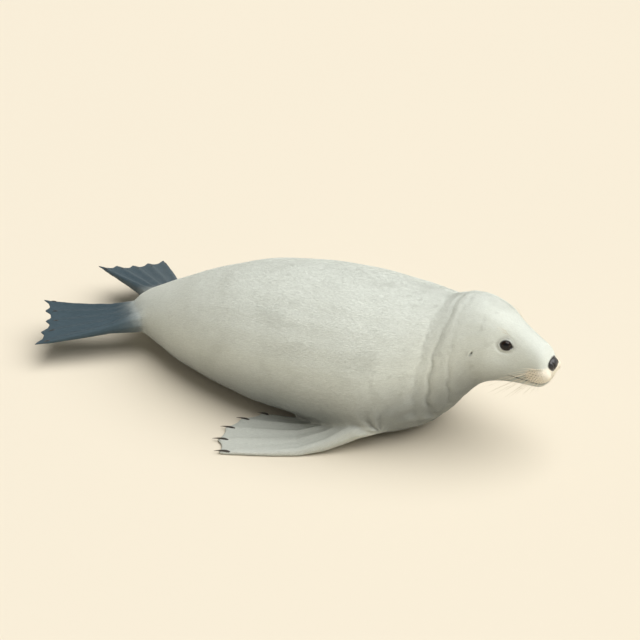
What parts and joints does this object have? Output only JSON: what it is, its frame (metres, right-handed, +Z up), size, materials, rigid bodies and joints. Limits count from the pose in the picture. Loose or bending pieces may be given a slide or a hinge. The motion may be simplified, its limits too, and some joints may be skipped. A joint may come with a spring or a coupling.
{
  "type": "grey seal",
  "caption": "Adult grey seal cow lying on its belly with its head held up, fore flippers laid out and back on the floor and dark hind flippers fanned behind.",
  "frame": {"origin": "on the floor under the middle of the belly, on the flat that the animal rests on", "axes": "+X from the tail towards the nose, +Y towards the animal's left side, +Z up"},
  "size_m": [1.9247, 1.0528, 0.5148],
  "materials": {
    "coat": "short flat fur, pale silver grey",
    "fore_flipper_coat": "short flat fur, mid grey",
    "hind_flipper_coat": "short flat fur, dark slate",
    "whisker_pad_coat": "short flat fur, cream",
    "nose_skin": "bare moist skin, near black",
    "eye": "wet and glossy, near black",
    "claw": "horn, dark brown"
  },
  "bodies": {
    "root": {"abdomen": "coat", "chest": "coat", "eye_left": "eye", "eye_right": "eye", "fore_claw_left_1": "claw", "fore_claw_left_2": "claw", "fore_claw_left_3": "claw", "fore_claw_left_4": "claw", "fore_claw_left_5": "claw", "fore_claw_right_1": "claw", "fore_claw_right_2": "claw", "fore_claw_right_3": "claw", "fore_claw_right_4": "claw", "fore_claw_right_5": "claw", "fore_flipper_left": "fore_flipper_coat", "fore_flipper_right": "fore_flipper_coat", "head": "coat", "hind_claw_left_1": "claw", "hind_claw_left_2": "claw", "hind_claw_left_3": "claw", "hind_claw_left_4": "claw", "hind_claw_left_5": "claw", "hind_claw_right_1": "claw", "hind_claw_right_2": "claw", "hind_claw_right_3": "claw", "hind_claw_right_4": "claw", "hind_claw_right_5": "claw", "hind_flipper_left": "hind_flipper_coat", "hind_flipper_right": "hind_flipper_coat", "hindquarters": "coat", "lower_jaw": "coat", "neck": "coat", "nose": "nose_skin", "tail": "coat", "whisker_pad_left": "whisker_pad_coat", "whisker_pad_right": "whisker_pad_coat"}
  },
  "joints": []
}
